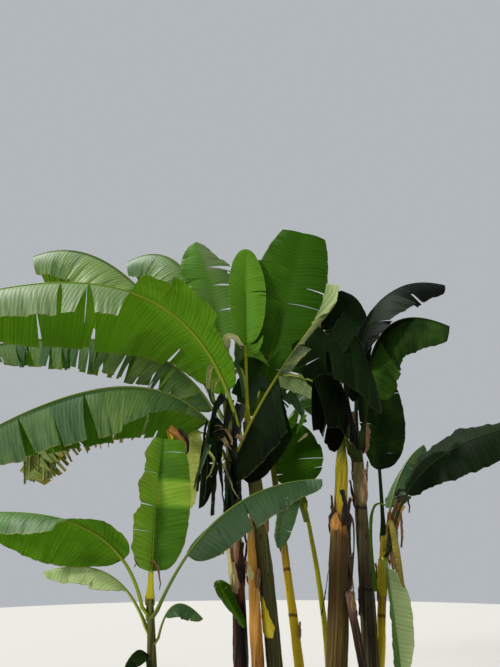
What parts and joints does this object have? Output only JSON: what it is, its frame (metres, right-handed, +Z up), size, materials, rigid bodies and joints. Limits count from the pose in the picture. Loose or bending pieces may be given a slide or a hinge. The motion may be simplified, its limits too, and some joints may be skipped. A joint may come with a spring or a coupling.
{
  "type": "banana plant",
  "caption": "Clump of banana plants from a shared rootstock: leaning pseudostems of different ages, broad drooping wind-torn leaves, dry sheaths and a young sucker.",
  "frame": {"origin": "ground level, in the middle of the thickest pseudostem's flat-cut foot", "axes": "+Z up, +X to the right and +Y away from the viewer in the picture's view"},
  "size_m": [4.1588, 2.2162, 3.7292],
  "materials": {
    "stem_olive": "satin, streaked sheaths",
    "stem_straw": "dull, dry and papery",
    "stem_brown": "dull, dry sheaths",
    "stem_yellow": "satin",
    "leaf_bright": "satin, lets light through",
    "leaf_green": "satin",
    "leaf_dark": "satin",
    "leaf_dry": "dull, dry"
  },
  "bodies": {
    "root": {"stem_main": "stem_olive", "stem_right": "stem_olive", "stem_green": "stem_olive", "stem_straw": "stem_straw", "stem_brown": "stem_brown", "stem_yellow": "stem_yellow", "stem_thin": "stem_yellow", "stem_small": "stem_yellow", "stem_sucker": "stem_olive", "stem_stump": "stem_brown", "left_leaf_01_inner": "leaf_bright", "left_leaf_01_outer": "leaf_bright", "left_leaf_02": "leaf_green", "left_leaf_03": "leaf_green", "left_leaf_04": "leaf_bright", "left_leaf_05_inner": "leaf_green", "left_leaf_05_outer": "leaf_green", "left_leaf_06_inner": "leaf_green", "left_leaf_06_outer": "leaf_green", "left_leaf_07": "leaf_bright", "left_leaf_08": "leaf_bright", "left_leaf_09": "leaf_dark", "left_leaf_10": "leaf_dry", "left_leaf_11": "leaf_dark", "left_leaf_12": "leaf_dark", "left_leaf_13": "leaf_dry", "left_leaf_14": "leaf_dry", "left_leaf_15": "leaf_green", "brown_leaf_01": "leaf_green", "main_leaf_01": "leaf_dry", "right_leaf_01": "leaf_dark", "right_leaf_02": "leaf_dark", "right_leaf_03": "leaf_dark", "right_leaf_04": "leaf_dark", "right_leaf_05": "leaf_green", "right_leaf_06": "leaf_green", "small_leaf_01": "leaf_dark", "small_leaf_02": "leaf_dark", "small_leaf_03": "leaf_bright", "small_leaf_04": "leaf_green", "small_leaf_05": "leaf_dry", "thin_leaf_01": "leaf_green", "thin_leaf_02": "leaf_green", "yellow_leaf_01": "leaf_green", "sucker_leaf_01_inner": "leaf_bright", "sucker_leaf_01_outer": "leaf_bright", "sucker_leaf_02": "leaf_bright", "sucker_leaf_03": "leaf_green", "sucker_leaf_04": "leaf_green", "sucker_leaf_05": "leaf_green", "sucker_leaf_06": "leaf_dark", "sucker_leaf_07": "leaf_green", "right_leaf_07": "leaf_dark"}
  },
  "joints": []
}
